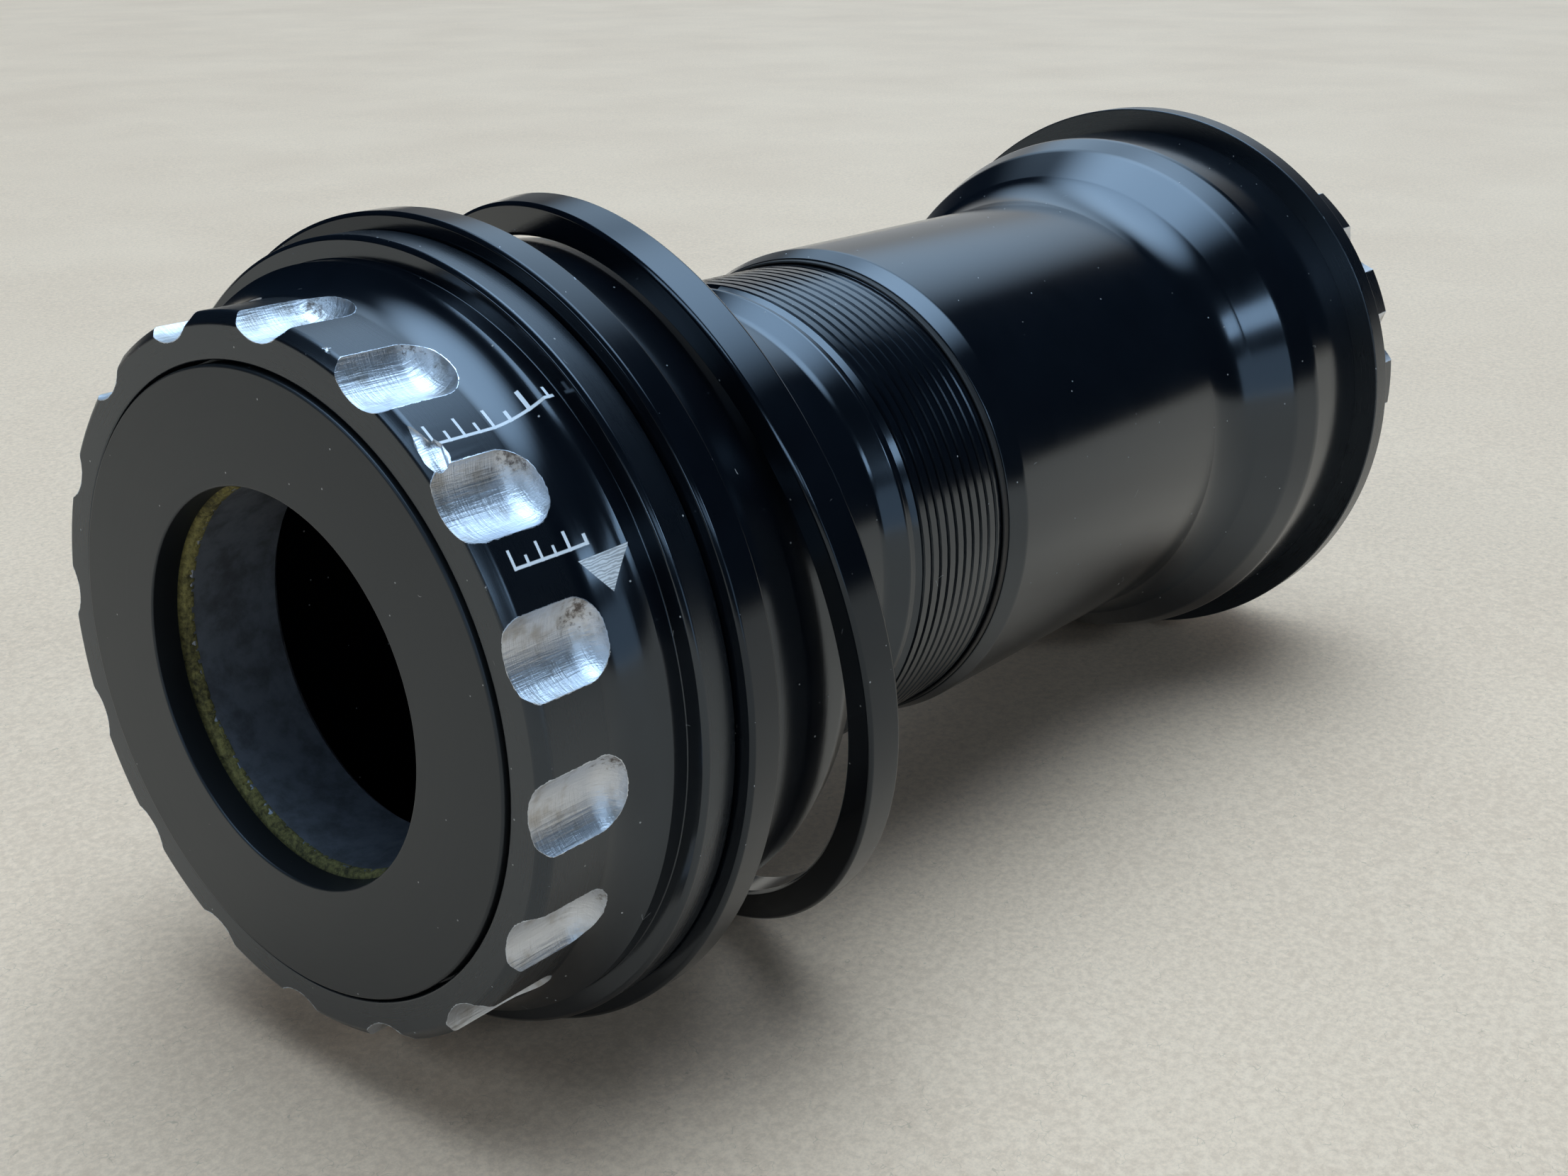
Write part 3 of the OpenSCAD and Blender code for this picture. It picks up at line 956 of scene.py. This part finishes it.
# %% The felt wiper rings
FELT = [
    (2.02, 12.05, 0.05), (1.56, 12.9, 0.05), (1.56, 13.45, 0.02), (1.98, 13.45, 0.02),
    (2.1, 12.7, 0.02), (2.6, 12.05, 0.02), (2.55, 11.95, 0.04), (2.3, 11.95, 0.05),
]
FELT_STEPS = 720
FELT_ROUGH = 0.34
FRAY_WITHIN = 12.6
TUFT_SCALE = 2.6
HAIR_SCALE = 7


def fray(piece):
    """Moves parts of the felt's inner edge outward by noise."""
    for vert in piece.data.vertices:
        radius = math.hypot(vert.co.y, vert.co.z)
        if radius < FRAY_WITHIN * MM:
            tufts = noise.noise(vert.co / MM * TUFT_SCALE)
            hairs = noise.noise(vert.co / MM * HAIR_SCALE)
            swell = tufts * 0.6 + hairs * 0.4
            grown = radius + FELT_ROUGH * MM * max(swell, 0.0)
            vert.co.yz = vert.co.yz * (grown / radius)


for side_name, spot in (("sleeve_side", SLEEVE_SIDE), ("tube_side", TUBE_SIDE)):
    felt = turned_piece(side_name + "_felt_ring", FELT, spot, felt_finish, FELT_STEPS)
    fray(felt)
    smooth(felt)
    place_on(felt, side_name + "_rotor", "wiper_felt", side_name + "_wiper_ring")

# %% [markdown]
# The bracket lies on plain pale paper. The flange spacer is wider than the far flange, so the
# bracket rests on those two and the paper slopes by less than a degree to touch both. The paper
# has a fine mottle and a few fibres, which is enough to show its scale.

# %% The paper floor
FLOOR_SIZE = 6.0
FAR_FLANGE_R = 24.95
FAR_FLANGE_X = TUBE_END - 10.3
PAPER_DARK = (0.79, 0.54, 0.365)
PAPER_LIGHT = (0.97, 0.69, 0.475)
FIBRE = (0.34, 0.24, 0.16)
FIBRE_STRENGTH = 0.35


def paper(name):
    """Pale uncoated paper."""
    finish, paint, shader = start_finish(name, Specular_IOR_Level=0.25)
    point = place_in_mm(paint)
    mottle = cloud(paint, point, 1.6, 6.0, 0.8)
    broad = cloud(paint, point, 0.02, 3.0, 0.5)
    fibres = abs(cloud(paint, point, 0.5, 2.0) - 0.5).rise(0.006, 0.0)
    fibres = fibres * cloud(paint, point, 0.35, 1.0).rise(0.50, 0.55)
    amount = 0.8 * mottle + 0.2 * broad
    colour = blend(paint, amount.rise(0.36, 0.64), PAPER_DARK, PAPER_LIGHT)
    colour = blend(paint, fibres * FIBRE_STRENGTH, colour, FIBRE)
    normal = bump(paint, mottle, 0.35, 0.12)
    link(shader, Base_Color=colour, Roughness=0.62 + 0.2 * mottle, Normal=normal)
    return finish


near_x = sum(corner.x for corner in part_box("flange_spacer")) / 2 / MM
slope = math.atan2(SPACER_R - FAR_FLANGE_R, FAR_FLANGE_X - near_x)
bm = bmesh.new()
bmesh.ops.create_grid(bm, x_segments=2, y_segments=2, size=FLOOR_SIZE / 2)
floor_place = Matrix.Translation((near_x * MM, 0, -SPACER_R * MM / math.cos(slope)))
bmesh.ops.transform(bm, matrix=floor_place @ Matrix.Rotation(-slope, 4, "Y"), verts=bm.verts[:])
floor = to_object(bm, "paper_floor", paper("pale_paper"))
print("the paper slopes by", round(math.degrees(slope), 2), "degrees")

# %% [markdown]
# Black parts show little but reflections, so the light is chosen by what it draws. Most of it
# comes from a wide soft skylight, almost straight overhead. Its soft edge fades over the top of
# each rim, and a weaker blue patch, lower and behind the bracket, lights the shoulders. The tube
# reflects a pale wall. The rest of the room is dark above a low, pale horizon.

# %% The room
WINDOW_BLUE = (0.56, 0.77, 1.0)
SKY_RADIANCE = 5.1
SKY_TOWARD = (20, 82)
SKY_CORE = 10
SKY_EDGE = 37
WALL_TOWARD = (25, 12)
WALL_CORE = 10
WALL_EDGE = 32
WALL = (0.50, 0.52, 0.53)
BLUE_TOWARD = (33, 42)
BLUE_CORE = 5
BLUE_EDGE = 28
BLUE_RADIANCE = 1.7
DARK_ROOM = (0.006, 0.012, 0.022)
HORIZON = (0.48, 0.46, 0.41)
HORIZON_HEIGHT = 0.06


def direction(azimuth, elevation):
    """A unit vector from the bracket."""
    turn, lift = math.radians(azimuth), math.radians(elevation)
    level = math.cos(lift)
    return Vector((math.cos(turn) * level, math.sin(turn) * level, math.sin(lift)))


def glow(room, view_line, toward, core, edge):
    """1 within core degrees of a direction, fading to 0 at edge degrees."""
    vectors = {0: view_line, 1: direction(*toward)}
    cosine = room.node("VectorMath", {"operation": "DOT_PRODUCT"}, vectors, output=1)
    return cosine.rise(math.cos(math.radians(edge)), math.cos(math.radians(core)))


world = bpy.data.worlds.new("room")
world.use_nodes = True
room = Wire(world.node_tree)
view_line = room.node("TexCoord", output="Generated")
wall = glow(room, view_line, WALL_TOWARD, WALL_CORE, WALL_EDGE)
skylight = glow(room, view_line, SKY_TOWARD, SKY_CORE, SKY_EDGE)
height = room.node("SeparateXYZ", None, {0: view_line}, output=2)
shade = blend(room, height.rise(0.0, HORIZON_HEIGHT), HORIZON, DARK_ROOM)
shade = blend(room, wall, shade, WALL)
blue = glow(room, view_line, BLUE_TOWARD, BLUE_CORE, BLUE_EDGE)
shade = blend(room, blue, shade, [BLUE_RADIANCE * c for c in WINDOW_BLUE])
shade = blend(room, skylight, shade, [SKY_RADIANCE * c for c in WINDOW_BLUE])
world.node_tree.links.new(shade.socket, world.node_tree.nodes["Background"].inputs["Color"])
bpy.context.scene.world = world
bpy.context.scene.view_settings.view_transform = "Standard"
print("a skylight, a wall and a dark room")

# %% [markdown]
# Narrow windows lower down draw the thin blue lines along the fillets and bevels. Each is an area
# lamp that faces the bracket from three metres away. A lamp's energy grows with its area here, so
# the number in the table is how bright the window itself looks.

# %% The windows
WINDOW_AWAY = 3.0
WINDOWS = {
    # azimuth, elevation, width, height, radiance
    "left_window": (165, 38, 1.6, 0.45, 4.5),
    "back_window": (-163, 15, 1.0, 0.40, 4.5),
    "middle_window": (-128, 23, 1.5, 0.35, 2.0),
    "right_window": (-94, 30, 1.2, 0.45, 4.5),
    "right_wall": (-104, 9, 2.2, 0.9, 0.8),
}
middle = (cad_low + cad_high) / 2
for name, (azimuth, elevation, width, height, radiance) in WINDOWS.items():
    data = bpy.data.lights.new(name, "AREA")
    data.shape = "RECTANGLE"
    data.size = width
    data.size_y = height
    data.energy = radiance * math.pi * width * height
    data.color = WINDOW_BLUE
    lamp = bpy.data.objects.new(name, data)
    lamp.location = middle + direction(azimuth, elevation) * WINDOW_AWAY
    lamp.rotation_euler = direction(azimuth, elevation).to_track_quat("Z", "Y").to_euler()
    bpy.context.scene.collection.objects.link(lamp)
print(len(WINDOWS), "windows")
